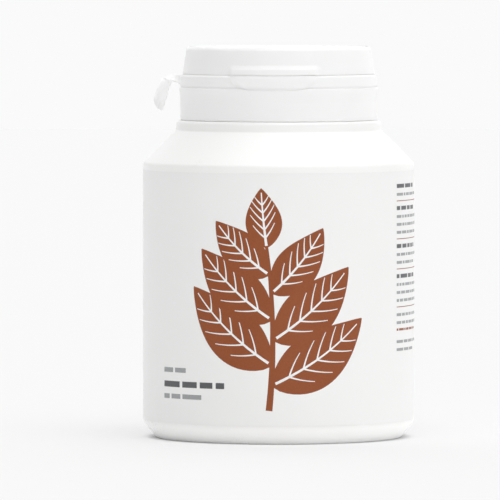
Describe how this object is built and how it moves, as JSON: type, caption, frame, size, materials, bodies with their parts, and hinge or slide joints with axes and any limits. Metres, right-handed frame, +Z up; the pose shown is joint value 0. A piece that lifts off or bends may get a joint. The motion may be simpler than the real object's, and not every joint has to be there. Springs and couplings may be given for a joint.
{
  "type": "flip-top supplement bottle",
  "caption": "Wide round white plastic bottle with a wrap-round label and a hinged snap lid behind a tear-off tamper strip.",
  "frame": {"origin": "centre of the ring that the bottle stands on, on the surface below it", "axes": "+Z up along the bottle's axis; the lid's thumb ledge faces -Y, the hinge is at +Y, and the pull tab sticks out to -X"},
  "size_m": [0.0692, 0.0692, 0.0991],
  "materials": {
    "bottle_plastic": "satin gloss white polyethylene",
    "closure_plastic": "fine satin white polypropylene",
    "label_film": "semi-matte white film with terracotta printing"
  },
  "bodies": {
    "container": {"bottle": "bottle_plastic", "label": "label_film", "closure_ring": "closure_plastic", "tear_strip": "closure_plastic", "hinge_film": "closure_plastic"},
    "lid": {"lid": "closure_plastic"}
  },
  "joints": [
    {"name": "lid_hinge", "type": "hinge", "parent": "container", "child": "lid", "pos_m": [0, 0.02575, 0.0922], "axis": [-1, 0, 0], "range_deg": [0, 160], "deforming": ["hinge_film"]}
  ]
}
